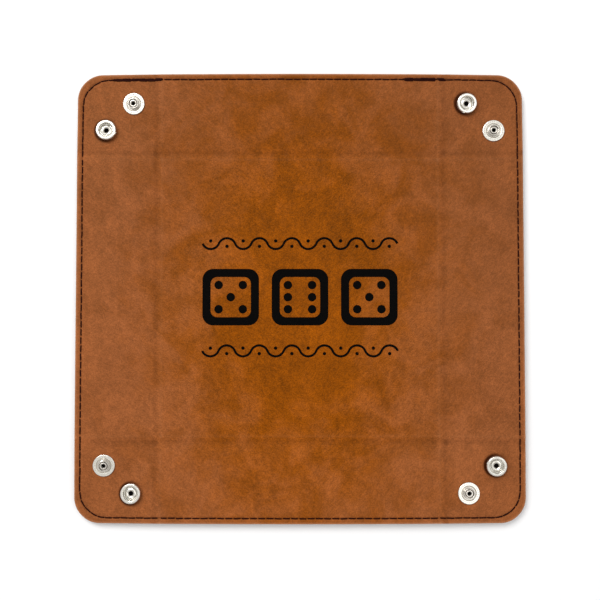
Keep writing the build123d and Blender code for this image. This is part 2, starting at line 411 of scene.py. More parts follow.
def lining_height(u, v):
    u = np.asarray(u, float)
    v = np.asarray(v, float)
    depth = inset(u, v, EDGE, CORNER_R)
    seam = inset(u, v, EDGE - SEAM_INSET, SEAM_R)
    ear = smooth((np.minimum(np.abs(u), np.abs(v)) - RIDGE - 0.4) / 1.6)
    z = EAR_BOTTOM * ear + rounded_edge(depth)
    z += 0.22 * bump(seam, 0.45) + 0.14 * bump(nearest(u, v, ALL_HOLES), 0.6)
    z += 0.30 * creases(u, v, CREASE, 1.1)
    z = np.maximum(z, ridge_groove(u, v))
    return np.maximum(z, ridge_groove(v, u))


# Outlines of the panels, in the flat sheet


def mirrored(values):
    return sorted({round(s * x, 4) for x in values for s in (-1, 1)})


COARSE_TICKS = np.linspace(0, FINE_TICKS[0], round(FINE_TICKS[0] / COARSE) + 1)[:-1]
OUTER_TICKS = np.linspace(FINE_TICKS[-1], EDGE - 5.0, 20)[1:]
TICKS = mirrored([*COARSE_TICKS, *FINE_TICKS, *OUTER_TICKS])


def cut(p, q):
    """Points of a crease from p to q, without q, where the ticks cross it."""
    p = np.array(p, float)
    q = np.array(q, float)
    axis = int(np.argmax(np.abs(q - p)))
    shares = [(tick - p[axis]) / (q[axis] - p[axis]) for tick in TICKS]
    length = np.linalg.norm(q - p)
    inner = sorted(s for s in shares if 0.2 / length < s < 1 - 0.2 / length)
    return [tuple(p + s * (q - p)) for s in (0.0, *inner)]


def cut_to_edge(p, q, seam_at):
    """Points of a crease from p to q on the outline, without q, closer together at the seam and the edge."""
    p = np.array(p, float)
    q = np.array(q, float)
    length = np.linalg.norm(q - p)
    rows = [seam_at + row for row in reversed(SEAM_ROWS)] + list(reversed(EDGE_ROWS))
    first = q + (p - q) * (rows[0] + 0.6) / length
    return cut(p, first) + [tuple(first)] + [tuple(q + (p - q) * row / length) for row in rows]


def spaced(p, q, step):
    """Evenly spaced points from p to q, without q."""
    n = max(1, math.ceil(math.dist(p, q) / step))
    return [tuple(np.array(p) + (np.array(q) - np.array(p)) * i / n) for i in range(n)]


def arc(centre, radius, start, end, step):
    n = max(1, math.ceil(abs(end - start) * radius / step))
    angles = [start + (end - start) * i / n for i in range(n)]
    return [(centre + radius * math.cos(a), centre + radius * math.sin(a)) for a in angles]


ARC_CENTRE = EDGE - CORNER_R
PLEAT_OUT_ANGLE = math.pi / 4 - math.asin(PLEAT_BAND / CORNER_R)
PLEAT_OUT = (
    ARC_CENTRE + CORNER_R * math.cos(PLEAT_OUT_ANGLE),
    ARC_CENTRE + CORNER_R * math.sin(PLEAT_OUT_ANGLE),
)
PLEAT_SEAM_AT = 4.09

BASE_CORNER = (CREASE, RIDGE)
BASE_CORNER_MIRROR = (RIDGE, CREASE)
NEAR_START = (CREASE + WALL_BAND, RIDGE - RIDGE_BAND)
NEAR_EDGE = (EDGE, RIDGE - RIDGE_BAND)


def back(line, end):
    """The same crease walked the other way, without its new last point."""
    return [end] + line[:0:-1]


NEAR_CUT = cut(BASE_CORNER, NEAR_START) + cut_to_edge(NEAR_START, NEAR_EDGE, SEAM_INSET)
PLEAT_CUT = cut_to_edge(BASE_CORNER, PLEAT_OUT, PLEAT_SEAM_AT)
OPEN_CUT = cut_to_edge(BASE_CORNER, (EDGE, RIDGE), SEAM_INSET)
CHAMFER = spaced(BASE_CORNER, BASE_CORNER_MIRROR, 0.5)


def base_outline():
    """The base panel's outline, counterclockwise."""
    side = CREASE - WALL_BAND
    quarter = cut((side, -RIDGE), (side, RIDGE)) + cut((side, RIDGE), BASE_CORNER) + CHAMFER
    quarter += cut(BASE_CORNER_MIRROR, (RIDGE, side))
    return [turned_xy(point, k) for k in range(4) for point in quarter]


def wall_outline():
    """The east wall's outline, clockwise from the near end of its crease."""
    side = CREASE - WALL_BAND
    crease = cut((side, -RIDGE), (side, RIDGE)) + cut((side, RIDGE), BASE_CORNER)
    edge = spaced(NEAR_EDGE, (EDGE, -RIDGE), ALONG)
    open_cut = [(x, -y) for x, y in back(OPEN_CUT, (EDGE, RIDGE))]
    return crease + NEAR_CUT + edge + open_cut + cut((CREASE, -RIDGE), (side, -RIDGE))


def ridge_row(half):
    """Points across a ridge, closer together so that it bends smoothly."""
    return spaced((half, RIDGE - RIDGE_BAND), (half, RIDGE + RIDGE_BAND), RIDGE_STEP)


def near_outline():
    edge = ridge_row(EDGE) + spaced((EDGE, RIDGE + RIDGE_BAND), (EDGE, ARC_CENTRE), ALONG)
    edge += corner_arc(ARC_CENTRE, CORNER_R, ALONG, 0.0, PLEAT_OUT_ANGLE)
    return NEAR_CUT + edge + back(PLEAT_CUT, PLEAT_OUT)


def far_outline():
    edge = corner_arc(ARC_CENTRE, CORNER_R, ALONG, PLEAT_OUT_ANGLE)
    edge += spaced((ARC_CENTRE, EDGE), (RIDGE, EDGE), ALONG)
    open_cut = [(y, x) for x, y in back(OPEN_CUT, (EDGE, RIDGE))]
    return PLEAT_CUT + edge + open_cut + back(CHAMFER, BASE_CORNER_MIRROR)


# Points inside the panels


def ring_points(half, radius, step):
    """Points on a rounded square, over the east side and the north-east corner."""
    centre = half - radius
    points = spaced((half, -RIDGE), (half, RIDGE - RIDGE_BAND), step) + ridge_row(half)
    points += spaced((half, RIDGE + RIDGE_BAND), (half, centre), step) + corner_arc(centre, radius, step)
    return points + spaced((centre, half), (RIDGE, half), step)


def corner_arc(centre, radius, step, start=0.0, end=math.pi / 2):
    """Points round a corner, closer together where the pleat bends it."""
    reach = math.asin(PLEAT_BAND / radius)
    before = min(math.pi / 4 - reach, end)
    after = max(math.pi / 4 + reach, start)
    points = arc(centre, radius, start, before, step) if start < before else []
    if start < after and before < end:
        points += arc(centre, radius, max(start, before), min(after, end), PLEAT_STEP)
    return points + (arc(centre, radius, after, end, step) if after < end else [])


def inside_points():
    """The points that the panels of one quarter are meshed from."""
    points = []
    for row in EDGE_ROWS:
        points += ring_points(EDGE - row, CORNER_R - row, ALONG)
    for row in SEAM_ROWS:
        points += ring_points(EDGE - SEAM_INSET - row, SEAM_R - row, ALONG)
    for x, y in ((SNAP_FAR, SNAP_NEAR), (SNAP_NEAR, SNAP_FAR)):
        for r in SNAP_RINGS:
            points += [(x + px, y + py) for px, py in circle_loop(0, 0, r)]
    points += pleat_points()
    grid = np.array([(x, y) for x in TICKS for y in TICKS if x > 0 and y > -EDGE])
    depth = inset(grid[:, 0], grid[:, 1], EDGE, CORNER_R)
    seam = inset(grid[:, 0], grid[:, 1], EDGE - SEAM_INSET, SEAM_R)
    stud = np.hypot(grid[:, 0] - SNAP_FAR, grid[:, 1] - SNAP_NEAR)
    socket = np.hypot(grid[:, 0] - SNAP_NEAR, grid[:, 1] - SNAP_FAR)
    snap = np.minimum(stud, socket)
    pleat = np.abs(grid[:, 0] - grid[:, 1]) / math.sqrt(2)
    off_pleat = (pleat > PLEAT_BAND + 0.7) | (grid[:, 0] < RIDGE)
    kept = (depth > 4.6) & (seam > 1.8) & (snap > SNAP_RINGS[-1] + 0.6) & off_pleat
    points += [tuple(p) for p in grid[kept]]
    places = {}
    for x, y in points:
        places.setdefault((round(x / 0.11), round(y / 0.11)), (x, y))
    return np.array(list(places.values()))


def pleat_points():
    """Rows along the corner's diagonal, where the sheet turns back on itself."""
    points = []
    reach = EDGE - CORNER_R * (1 - math.sqrt(0.5))
    for row in np.linspace(-1, 1, CURVE_STEPS):
        shift = row * PLEAT_BAND / math.sqrt(2)
        points += [(t + shift, t - shift) for t in np.arange(CREASE, reach - 3.5, 0.9)]
    return points


def is_inside(points, outline):
    x = points[:, 0]
    y = points[:, 1]
    odd = np.zeros(len(points), bool)
    for (x0, y0), (x1, y1) in zip(outline, outline[1:] + outline[:1]):
        if y0 != y1:
            crosses = (y0 > y) != (y1 > y)
            odd ^= crosses & (x < x0 + (y - y0) / (y1 - y0) * (x1 - x0))
    return odd


def distance_to(points, outline):
    best = np.full(len(points), 1e9)
    for a, b in zip(outline, outline[1:] + outline[:1]):
        a = np.array(a)
        b = np.array(b)
        share = np.clip((points - a) @ (b - a) / ((b - a) @ (b - a)), 0, 1)
        best = np.minimum(best, np.linalg.norm(points - a - share[:, None] * (b - a), axis=1))
    return best


def points_for(outline, cloud):
    """The points of the cloud inside an outline, clear of its creases, and right up to its outer edge."""
    cloud = cloud[is_inside(cloud, outline)]
    depth = inset(cloud[:, 0], cloud[:, 1], EDGE, CORNER_R)
    return cloud[distance_to(cloud, outline) > np.minimum(0.16, 0.8 * depth)]


# Engraving


def circle_loop(x, y, r):
    n = max(12, round(2 * math.pi * r / 0.45))
    angles = [2 * math.pi * i / n for i in range(n)]
    return [(x + r * math.cos(a), y + r * math.sin(a)) for a in angles]


def rounded_square_loop(x, half, radius):
    loop = []
    for k in range(4):
        corner = arc(half - radius, radius, 0, math.pi / 2, 0.5) + [(half - radius, half)]
        corner += spaced((half - radius, half), (radius - half, half), 1.5)[1:]
        loop += [turned_xy(point, k) for point in corner]
    return [(x + px, py) for px, py in loop]


def scroll_loops(y0):
    """The wave as a ribbon with a square end, and its dots."""
    step = SCROLL_LENGTH / SCROLL_ARCS
    radius = (step**2 / 4 + SCROLL_RISE**2) / (2 * SCROLL_RISE)
    reach = math.asin(step / 2 / radius)
    upper = []
    lower = []
    loops = []
    for i in range(SCROLL_ARCS):
        side = 1 if i % 2 else -1
        middle = -SCROLL_LENGTH / 2 + (i + 0.5) * step
        centre = y0 + side * (SCROLL_RISE - radius)
        last = i == SCROLL_ARCS - 1
        for a in np.linspace(-reach, reach, CURVE_STEPS)[: CURVE_STEPS if last else CURVE_STEPS - 1]:
            for line, way in ((upper, side), (lower, -side)):
                r = radius + way * SCROLL_STROKE / 2
                line.append((middle + r * math.sin(a), centre + side * r * math.cos(a)))
        loops.append(circle_loop(middle, y0 - side * SCROLL_RISE / 2, SCROLL_DOT_R))
    return [lower + upper[::-1]] + loops


def engraving_loops():
    loops = []
    for x, count in ((-DIE_PITCH, 5), (0, 6), (DIE_PITCH, 5)):
        loops.append(rounded_square_loop(x, DIE_SIDE / 2, DIE_CORNER_R))
        loops.append(rounded_square_loop(x, DIE_SIDE / 2 - DIE_STROKE, DIE_CORNER_R - DIE_STROKE / 2))
        pips = [(px, py) for px in (-PIP_STEP, PIP_STEP) for py in (-PIP_STEP, PIP_STEP)]
        pips += [(0, 0)] if count == 5 else [(-PIP_STEP, 0), (PIP_STEP, 0)]
        loops += [circle_loop(x + px, py, PIP_R) for px, py in pips]
    return loops + scroll_loops(SCROLL_Y) + scroll_loops(-SCROLL_Y)


# Meshing


def triangles(outline, inner, marks=()):
    """Points and triangles of a panel, and which triangles are engraved."""
    points = [Vector(p) for p in outline]
    edges = [(i, (i + 1) % len(outline)) for i in range(len(outline))]
    for loop in marks:
        first = len(points)
        points += [Vector(p) for p in loop]
        edges += [(first + i, first + (i + 1) % len(loop)) for i in range(len(loop))]
    points += [Vector(p) for p in inner]
    face = list(range(len(outline)))
    verts, _, faces, _, _, _ = delaunay_2d_cdt(points, edges, [face], 1, 1e-5)
    xy = np.array([tuple(v) for v in verts])
    tris = np.array([f for f in faces])
    area = np.cross(xy[tris[:, 1]] - xy[tris[:, 0]], xy[tris[:, 2]] - xy[tris[:, 0]])
    tris = np.where((area < 0)[:, None], tris[:, ::-1], tris)
    middle = xy[tris].mean(axis=1)
    engraved = np.zeros(len(tris), bool)
    for loop in marks:
        engraved ^= is_inside(middle, loop)
    return xy, tris, engraved


def directed_edges(tris):
    return {(int(t[i]), int(t[(i + 1) % 3])) for t in tris for i in range(3)}


FACE, LINING, RAW_EDGE, INK = range(4)


def slab(name, panel, outline, cloud, marks=()):
    """A closed piece of the tray: face, lining, the raw edge between them, and the engraving."""
    xy, tris, engraved = triangles(outline, cloud, marks)
    k = panel.turns
    quarter = np.array(Matrix.Rotation(math.radians(90 * k), 2))
    xy = xy @ quarter.T
    n = len(xy)
    u = xy[:, 0]
    v = xy[:, 1]
    top = face_height(u, v)
    low = lining_height(u, v)
    verts = [np.column_stack((xy, top)), np.column_stack((xy, low))]
    faces = [tuple(t) for t in tris[~engraved]] + [tuple(n + t[::-1]) for t in tris]
    slots = [FACE] * int((~engraved).sum()) + [LINING] * len(tris)
    sharp = []
    if engraved.any():
        floor = len(np.concatenate(verts))
        verts.append(np.column_stack((xy, top - ENGRAVING_DEPTH)))
        faces += [tuple(floor + t) for t in tris[engraved]]
        plain = directed_edges(tris[~engraved])
        rims = [(a, b) for a, b in directed_edges(tris[engraved]) if (b, a) in plain]
        rims.sort()
        faces += [(b, a, floor + a, floor + b) for a, b in rims]
        slots += [INK] * (int(engraved.sum()) + len(rims))
        sharp += rims + [(floor + a, floor + b) for a, b in rims]
    all_edges = directed_edges(tris)
    border = sorted((a, b) for a, b in all_edges if (b, a) not in all_edges)
    depth = inset(u, v, EDGE, CORNER_R)
    outer = {i for i in {a for edge in border for a in edge} if depth[i] < 0.02}
    rows = {}
    count = len(np.concatenate(verts))
    for i in sorted(outer):
        point = np.array((u[i], v[i]))
        out = edge_normal(point)
        layers = []
        for height, sunk in ((LINING_T + 0.12, 0.0), (LINING_T, 0.09), (LINING_T - 0.12, 0.0)):
            layers.append((*(point - out * sunk), max(height, low[i] + 0.02 * (height > LINING_T))))
        verts.append(np.array(layers))
        rows[i] = (i, count, count + 1, count + 2, n + i)
        count += 3
    for a, b in border:
        if a in outer and b in outer:
            for j in range(4):
                faces.append((rows[b][j], rows[a][j], rows[a][j + 1], rows[b][j + 1]))
                slots.append(RAW_EDGE)
        else:
            faces.append((*crease_side(a, b, n, rows),))
            slots.append(FACE)
            sharp += [(a, b), (n + a, n + b)]
    flat = np.concatenate(verts)
    return finish_mesh(name, panel, flat, faces, slots, sharp, SHEET_MATERIALS)


def crease_side(a, b, n, rows):
    """The side of a panel under a crease, past the layers of the raw edge where it meets one."""
    left = list(rows[a]) if a in rows else [a, n + a]
    right = list(rows[b]) if b in rows else [b, n + b]
    return [b] + left + right[:0:-1]


def edge_normal(point):
    """Outward direction of the sheet's edge."""
    centre = np.clip(point, CORNER_R - EDGE, EDGE - CORNER_R)
    out = point - centre
    return out / max(np.linalg.norm(out), 1e-9)


def finish_mesh(name, panel, flat, faces, slots, sharp, materials):
    """Folds the flat points to the rest pose and makes the object, with its flat places for its materials."""
    mesh = bpy.data.meshes.new(name)
    mesh.from_pydata((panel.fold(flat) * MM).tolist(), [], faces)
    mesh.polygons.foreach_set("material_index", slots)
    mesh.polygons.foreach_set("use_smooth", [True] * len(faces))
    wanted = {tuple(sorted(edge)) for edge in sharp}
    marked = [tuple(sorted(edge.vertices)) in wanted for edge in mesh.edges]
    mesh.attributes.new("sharp_edge", "BOOLEAN", "EDGE").data.foreach_set("value", marked)
    place = flat + panel.grain_shift(flat)
    sheet = mesh.attributes.new("sheet", "FLOAT_VECTOR", "POINT")
    sheet.data.foreach_set("vector", place.astype(np.float32).ravel())
    # Each point's painted highlight (above 0) and painted shade (below 0), for the leatherette's colour
    shade = mesh.attributes.new("painted_light_and_shade", "FLOAT", "POINT")
    shade.data.foreach_set("value", painted_light_and_shade(*flat.T).astype(np.float32))
    mesh.update()
    obj = bpy.data.objects.new(name, mesh)
    bpy.context.scene.collection.objects.link(obj)
    for material in materials:
        mesh.materials.append(material)
    panel.ride(obj)
    return obj


# Thread


def tube(path, radius, turns, lobes=3, sides=9):
    """A twisted thread along a path, closed at both ends, as points and faces."""
    path = np.asarray(path, float)
    n = len(path)
    tangent = np.gradient(path, axis=0)
    tangent /= np.linalg.norm(tangent, axis=1)[:, None]
    side = np.cross(tangent, (0, 0, 1))
    side /= np.maximum(np.linalg.norm(side, axis=1), 1e-6)[:, None]
    up = np.cross(side, tangent)
    angle = np.linspace(0, 2 * math.pi, sides, endpoint=False)
    points = []
    for i in range(n):
        share = i / (n - 1)
        taper = min(1.0, 0.55 + 3.2 * min(share, 1 - share))
        r = radius * taper * (1 + 0.14 * np.cos(lobes * (angle - turns * 2 * math.pi * share)))
        ring = path[i] + np.outer(r * np.cos(angle), side[i]) + np.outer(r * np.sin(angle), up[i])
        points.append(ring)
    return np.concatenate(points), ring_faces(n, sides)


def ring_faces(n, sides):
    """Faces of a tube made of n rings of points, closed at both ends."""
    faces = [
        (i * sides + j, i * sides + (j + 1) % sides, (i + 1) * sides + (j + 1) % sides, (i + 1) * sides + j)
        for i in range(n - 1)
        for j in range(sides)
    ]
    faces.append(tuple(range(sides))[::-1])
    faces.append(tuple((n - 1) * sides + j for j in range(sides)))
    return faces


def stitch_path(p, q, gap, lift, under, rng):
    """From hole to hole: down in the hole, up over the leather, and down again."""
    p = np.array(p)
    q = np.array(q)
    length = np.linalg.norm(q - p)
    along = (q - p) / length
    across = np.array((-along[1], along[0]))
    wander = rng.uniform(-0.13, 0.13, 2)
    shares = np.array((0.0, 0.04, 0.1, 0.18, 0.26, 0.34, 0.42, 0.5, 0.58, 0.66, 0.74, 0.82, 0.9, 0.96, 1.0))
    from_end = np.minimum(shares, 1 - shares)
    rise = np.interp(from_end, (0, 0.04, 0.1, 0.2, 0.35, 0.5), (-1.0, -0.35, 0.3, 0.75, 0.95, 1.0))
    run = gap / 2 + shares * (length - gap)
    drift = wander[0] + (wander[1] - wander[0]) * shares
    xy = p + np.outer(run, along) + np.outer(drift, across)
    height = lining_height(xy[:, 0], xy[:, 1]) if under else face_height(xy[:, 0], xy[:, 1])
    sign = -1 if under else 1
    return np.column_stack((xy, height + sign * (rise * lift)))


def between(a, b, share):
    """The point that lies a share of the way from a to b."""
    return tuple(p + share * (q - p) for p, q in zip(a, b))


def stitches(holes, gap, seed):
    """Both sides of the lockstitch through a row of holes."""
    rng = np.random.default_rng(seed)
    parts = []
    for p, q in zip(holes, holes[1:]):
        for under in (False, True):
            start = between(p, q, UNDER_GAP) if under and p == holes[0] else p
            end = between(q, p, UNDER_GAP) if under and q == holes[-1] else q
            path = stitch_path(start, end, gap, 0.17, under, rng)
            parts.append(tube(path, THREAD_R, 1.6 if under else -1.6))
    return parts


def backtack(holes, seed):
    """A second and third row of thread sewn back over the first, where the seam starts and ends."""
    rng = np.random.default_rng(seed)
    parts = []
    for p, q in zip(holes, holes[1:]):
        for offset in (-0.4, 0.38):
            a = np.array(p)
            b = np.array(q)
            out = edge_normal(a)
            shift = out * (offset + rng.uniform(-0.1, 0.1))
            slide = (b - a) * rng.uniform(0.05, 0.4)
            path = stitch_path(a + shift + slide, b + shift + slide, -0.5, 0.3, False, rng)
            parts.append(tube(path, THREAD_R * 1.15, -1.6))
    return parts


def loose_end(start, direction, length, seed):
    """A cut end of thread that curls up off the leather."""
    rng = np.random.default_rng(seed)
    direction = np.array(direction, float) / np.linalg.norm(direction)
    across = np.array((-direction[1], direction[0]))
    share = np.linspace(0, 1, 9)
    curl = rng.uniform(0.5, 0.9) * np.sin(share * 2.4)
    xy = np.array(start) + np.outer(share * length, direction) + np.outer(curl, across)
    z = face_height(xy[:, 0], xy[:, 1]) + 0.1 + 0.55 * np.sin(share * 2.6)
    return [tube(np.column_stack((xy, z)), THREAD_R * 0.8, 2.0)]


def thread_piece(name, panel, parts, node):
    points = []
    faces = []
    count = 0
    for part, part_faces in parts:
        points.append(part)
        faces += [tuple(count + i for i in face) for face in part_faces]
        count += len(part)
    flat = np.concatenate(points)
    obj = finish_mesh(name, panel, flat, faces, [0] * len(faces), [], [THREAD])
    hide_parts(node)
    return obj


# Materials


class Nodes:
    """A small helper to wire a node tree."""

    def __init__(self, name):
        self.material = bpy.data.materials.new(name)
        self.material.use_nodes = True
        self.tree = self.material.node_tree
        self.shader = self.tree.nodes["Principled BSDF"]

    def add(self, kind, inputs=(), **settings):
        node = self.tree.nodes.new(kind)
        for key, value in settings.items():
            setattr(node, key, value)
        for key, value in dict(inputs).items():
            if hasattr(value, "links"):
                self.tree.links.new(value, node.inputs[key])
            else:
                node.inputs[key].default_value = value
        return node

    def link(self, output, key):
        self.tree.links.new(output, self.shader.inputs[key])

    def set(self, **values):
        for key, value in values.items():
            self.shader.inputs[key.replace("_", " ")].default_value = value

    def math(self, operation, a, b=0.0):
        return self.add("ShaderNodeMath", {0: a, 1: b}, operation=operation).outputs[0]

    def noise(self, vector, scale, detail=2.0, roughness=0.5, distortion=0.0):
        inputs = {"Vector": vector, "Scale": scale, "Detail": detail, "Roughness": roughness}
        inputs["Distortion"] = distortion
        return self.add("ShaderNodeTexNoise", inputs).outputs["Fac"]

    def mix(self, factor, a, b):
        node = self.add("ShaderNodeMix", data_type="RGBA")
        for key, value in ((0, factor), (6, a), (7, b)):
            if hasattr(value, "links"):
                self.tree.links.new(value, node.inputs[key])
            else:
                node.inputs[key].default_value = value
        return node.outputs[2]

    def remap(self, value, low, high, to_low=0.0, to_high=1.0):
        inputs = {0: value, 1: low, 2: high, 3: to_low, 4: to_high}
        return self.add("ShaderNodeMapRange", inputs, interpolation_type="SMOOTHSTEP").outputs[0]

    def bump(self, height, strength, distance, normal=None):
        node = self.add("ShaderNodeBump", {"Height": height, "Strength": strength, "Distance": distance})
        if normal is not None:
            self.tree.links.new(normal, node.inputs["Normal"])
        return node.outputs[0]


def srgb(r, g, b):
    return (*[((c / 255 + 0.055) / 1.055) ** 2.4 if c > 10 else c / 255 / 12.92 for c in (r, g, b)], 1.0)


def flat_place(m, stretch=(1, 1, 1), degrees=0.0):
    """The place in the flat sheet, in millimetres, however the piece is folded, stretched and turned."""
    place = m.add("ShaderNodeAttribute", attribute_name="sheet").outputs["Vector"]
    inputs = {"Vector": place, "Scale": stretch, "Rotation": (0, 0, math.radians(degrees))}
    return m.add("ShaderNodeMapping", inputs, vector_type="TEXTURE").outputs[0]


def leatherette(name, golden, rosy, painted_dark, grain_depth):
    """Smooth leatherette: golden in the middle, rosier outwards, cloudy, with drawn-out fine wrinkles, and
    painted highlights and painted shade from each point's painted light value.
    """
    m = Nodes(name)
    place = flat_place(m)
    xyz = m.add("ShaderNodeSeparateXYZ", {0: place})
    clouds = m.noise(place, 0.045, 5.0, 0.62, 0.6)
    patches = m.noise(flat_place(m, (1.0, 1.5, 1.0), 15), 0.16, 4.0, 0.65, 0.4)
    flecks = m.noise(place, 0.6, 3.0, 0.65, 0.3)
    pores = m.noise(place, 1.7, 2.0, 0.6)
    squashed = m.add("ShaderNodeVectorMath", {0: place, 1: (1.0, 0.55, 0.0)}, operation="MULTIPLY")
    squashed = squashed.outputs["Vector"]
    reach = m.add("ShaderNodeVectorMath", {0: squashed}, operation="LENGTH").outputs["Value"]
    ragged = m.math("ADD", reach, m.remap(clouds, 0.3, 0.7, -16.0, 16.0))

    wrinkles = []
    for degrees, blend in ((-38, (-25.0, 25.0, 1.0, 0.0)), (52, (-25.0, 25.0, 0.0, 1.0))):
        drawn = m.noise(flat_place(m, (2.8, 1.0, 1.0), degrees), 1.0, 3.0, 0.6, 0.5)
        wrinkles.append(m.math("MULTIPLY", drawn, m.remap(xyz.outputs["X"], *blend)))
    wrinkle = m.math("ADD", *wrinkles)

    level = m.remap(clouds, 0.34, 0.66, 0.91, 1.09)
    for noise, low, high, depth in (
        (patches, 0.3, 0.7, 0.1),
        (flecks, 0.32, 0.68, 0.075),
        (wrinkle, 0.32, 0.68, 0.08),
        (pores, 0.32, 0.68, 0.17),
    ):
        level = m.math("MULTIPLY", level, m.remap(noise, low, high, 1 - depth, 1 + depth))
    mottle = m.math("MULTIPLY", m.math("SUBTRACT", level, 1.0), m.remap(reach, 30.0, 85.0, 1.45, 1.0))
    corner = m.math("ADD", xyz.outputs["X"], xyz.outputs["Y"])
    level = m.math("ADD", mottle, 1.0)
    level = m.math("MULTIPLY", level, m.remap(xyz.outputs["Y"], -90.0, 90.0, 1.03, 0.92))
    level = m.math("MULTIPLY", level, m.remap(corner, -160.0, 160.0, 1.045, 0.955))
    colour = m.mix(m.remap(ragged, 22.0, 108.0), golden, rosy)
    colour = m.add("ShaderNodeVectorMath", {0: colour, 1: level}, operation="MULTIPLY").outputs["Vector"]
    # Painted light: paler towards srgb(214, 158, 116) above 0, a painted highlight, and towards the painted
    # shade colour below 0
    shade = m.add("ShaderNodeAttribute", attribute_name="painted_light_and_shade").outputs["Fac"]
    colour = m.mix(m.math("MULTIPLY", m.remap(shade, 0.0, 1.0), 0.5), colour, srgb(214, 158, 116))
    m.link(m.mix(m.remap(m.math("MULTIPLY", shade, -1.0), 0.0, 1.0), colour, painted_dark), "Base Color")

    cells = m.add("ShaderNodeTexVoronoi", {"Vector": place, "Scale": 1.15, "Randomness": 0.95})
    grain = m.math("SUBTRACT", m.math("MULTIPLY", pores, 0.5), cells.outputs["Distance"])
    fine = m.bump(grain, 0.6, grain_depth)
    m.link(m.bump(wrinkle, 0.6, 0.0003, fine), "Normal")
    m.link(m.remap(patches, 0.3, 0.7, 0.44, 0.56), "Roughness")
    m.set(IOR=1.46, Specular_IOR_Level=0.17, Specular_Tint=(1.0, 0.62, 0.25, 1.0))
    return m.material


def raw_edge():
    """Cut leatherette: a darker and a paler brown, mixed in fibres along the cut."""
    m = Nodes("raw_edge")
    fibres = m.noise(flat_place(m, (1, 1, 0.4)), 1.9, 4.0, 0.65)
    colour = m.mix(m.remap(fibres, 0.3, 0.7), srgb(130, 74, 40), srgb(160, 99, 60))
    m.link(colour, "Base Color")
    m.link(m.bump(fibres, 0.6, 0.0002), "Normal")
    m.set(Roughness=0.62)
    return m.material


def ink():
    """Laser-engraved leatherette: black and matt, with a faint burnt texture."""
    m = Nodes("engraved_black")
    place = flat_place(m)
    soot = m.noise(place, 1.7, 4.0, 0.7)
    m.link(m.mix(m.remap(soot, 0.3, 0.75), srgb(1, 1, 1), srgb(9, 6, 5)), "Base Color")
    m.link(m.bump(m.noise(place, 6.0, 2.0), 0.5, 0.0001), "Normal")
    m.set(Roughness=0.9, Specular_IOR_Level=0.06)
    return m.material


def thread():
    m = Nodes("thread")
    place = flat_place(m)
    fibre = m.noise(place, 9.0, 3.0, 0.7)
    m.link(m.mix(m.remap(fibre, 0.3, 0.7), srgb(12, 2, 2), srgb(48, 12, 8)), "Base Color")
    m.link(m.bump(fibre, 0.5, 0.0001), "Normal")
    m.set(Roughness=0.7, Specular_IOR_Level=0.12, Specular_Tint=(1.0, 0.6, 0.5, 1.0))
    return m.material


def nickel(name, hole, rings):
    """Bright nickel plate over pressed brass, with painted shade in the hole of the post and in rings over
    the recesses round it.

    Each ring has its radius and half width in metres, and how dark its painted shade is.
    """
    m = Nodes(name)
    place = m.add("ShaderNodeTexCoord").outputs["Object"]
    spots = m.noise(place, 900.0, 4.0, 0.6)
    ripples = m.noise(place, 420.0, 2.0, 0.5)
    positive = m.add("ShaderNodeVectorMath", {0: place}, operation="ABSOLUTE").outputs["Vector"]
    xyz = m.add("ShaderNodeSeparateXYZ", {0: positive})
    x = m.math("SUBTRACT", m.math("MAXIMUM", xyz.outputs["X"], xyz.outputs["Y"]), SNAP_FAR_REST * MM)
    y = m.math("SUBTRACT", m.math("MINIMUM", xyz.outputs["X"], xyz.outputs["Y"]), SNAP_NEAR_REST * MM)
    out = m.math("SQRT", m.math("ADD", m.math("MULTIPLY", x, x), m.math("MULTIPLY", y, y)))
    # Painted shade in the post's hole and in the rings over its recesses
    painted_shade = m.remap(out, hole * 0.75, hole * 1.25, 0.5, 0.0)
    for radius, half, painted_dark in rings:
        away = m.math("ABSOLUTE", m.math("SUBTRACT", out, radius))
        painted_shade = m.math("MAXIMUM", painted_shade, m.remap(away, half * 0.4, half * 1.3, painted_dark, 0.0))
    colour = m.mix(m.remap(spots, 0.35, 0.7), srgb(224, 219, 208), srgb(234, 231, 222))
    m.link(m.mix(painted_shade, colour, srgb(96, 68, 50)), "Base Color")
    m.link(m.remap(spots, 0.3, 0.75, 0.24, 0.3), "Roughness")
    m.link(m.bump(ripples, 0.05, 0.00003), "Normal")
    m.set(Metallic=0.9)
    return m.material


# Each leatherette's third colour is the colour of its painted shade
SHEET_MATERIALS = [
    leatherette("face_leatherette", srgb(133, 66, 1), srgb(137, 78, 42), srgb(52, 16, 4), 0.0002),
    leatherette("lining_leatherette", srgb(128, 66, 14), srgb(132, 76, 42), srgb(46, 18, 6), 0.00026),
    raw_edge(),
    ink(),
]
THREAD = thread()
# Rings of painted shade on the stud and on the socket
STUD_RINGS = [(0.00125, 0.0002, 0.4), (0.00195, 0.0003, 0.75), (0.003, 0.0005, 0.3)]
STUD_NICKEL = nickel("stud_nickel", 0.00085, STUD_RINGS)
SOCKET_NICKEL = nickel("socket_nickel", 0.0007, [(0.0012, 0.0003, 0.45)])


# Building


def off_marks(points, marks):
    """The points that stay clear of the marks' lines."""
    clear = np.ones(len(points), bool)
    for loop in marks:
        centre = np.mean(loop, axis=0)
        near = np.abs(points - centre).max(axis=1) < np.abs(np.array(loop) - centre).max() + 1
        clear[near] &= distance_to(points[near], loop) > 0.3
    return points[clear]


def sheet_piece(name, panel, outline, cloud, nodes, marks=()):
    obj = slab(name, panel, outline, off_marks(points_for(outline, cloud), marks), marks)
    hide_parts(*nodes)


